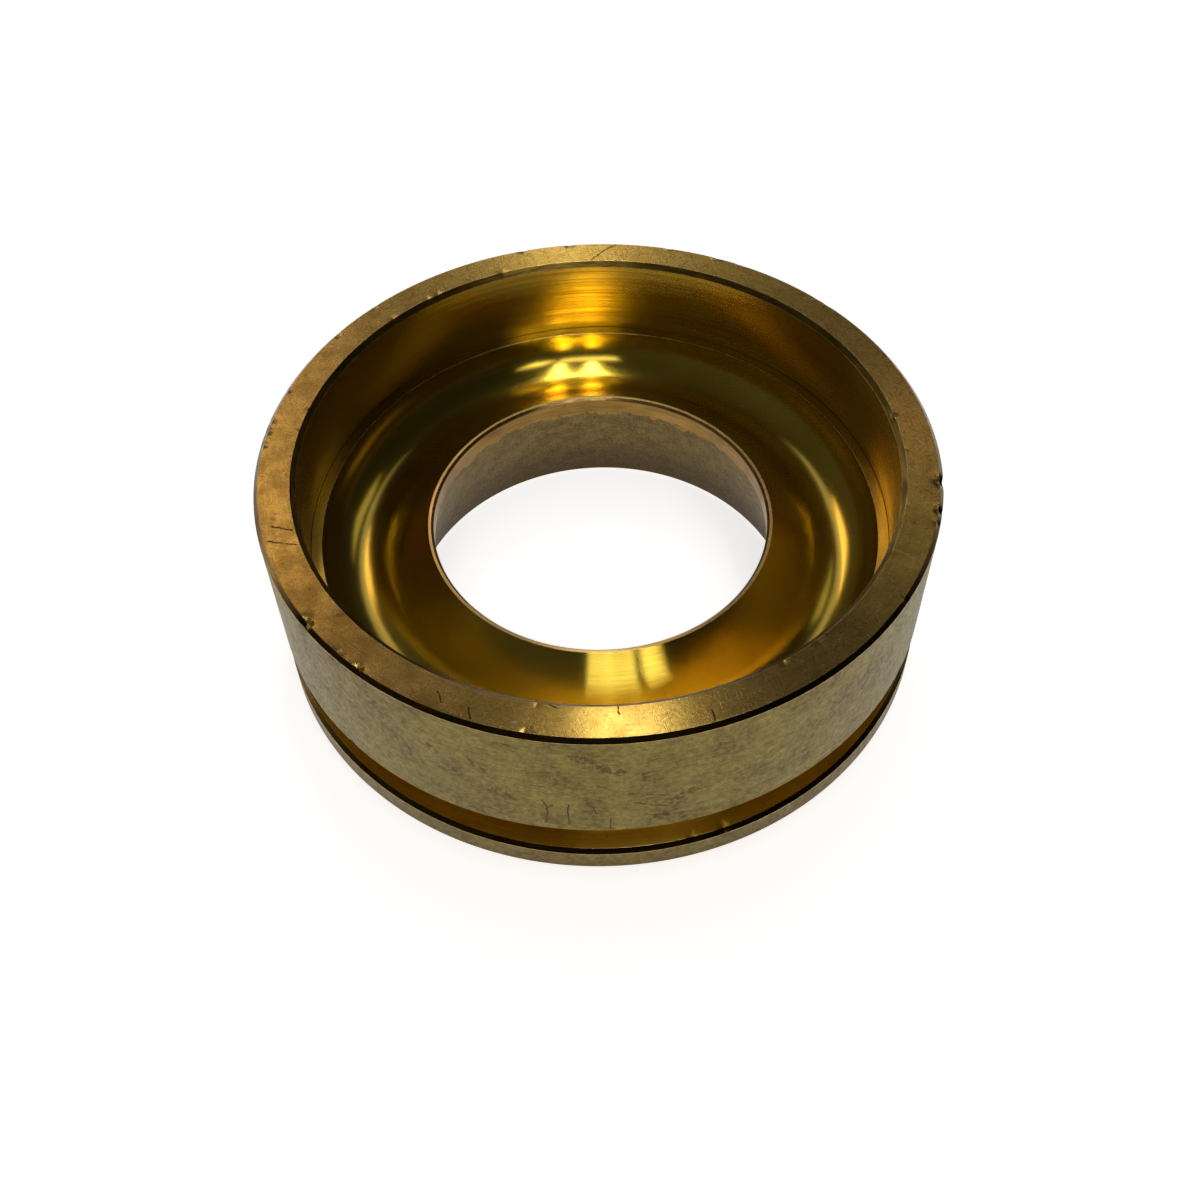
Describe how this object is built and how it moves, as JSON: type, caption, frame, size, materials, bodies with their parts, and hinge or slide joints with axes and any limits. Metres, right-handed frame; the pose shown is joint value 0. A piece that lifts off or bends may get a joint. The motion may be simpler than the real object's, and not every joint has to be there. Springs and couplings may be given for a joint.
{
  "type": "turned brass ring",
  "caption": "Turned brass ring with a stepped counterbore, a round-bottomed dish, a tapered bore and a seal groove round the outside.",
  "frame": {"origin": "middle of the bottom face, on the turning axis", "axes": "+Z along the turning axis, towards the counterbore's mouth"},
  "size_m": [0.08, 0.08, 0.0292],
  "materials": {
    "brass": "satin, machined"
  },
  "bodies": {
    "root": {"turned_ring": "brass"}
  },
  "joints": []
}
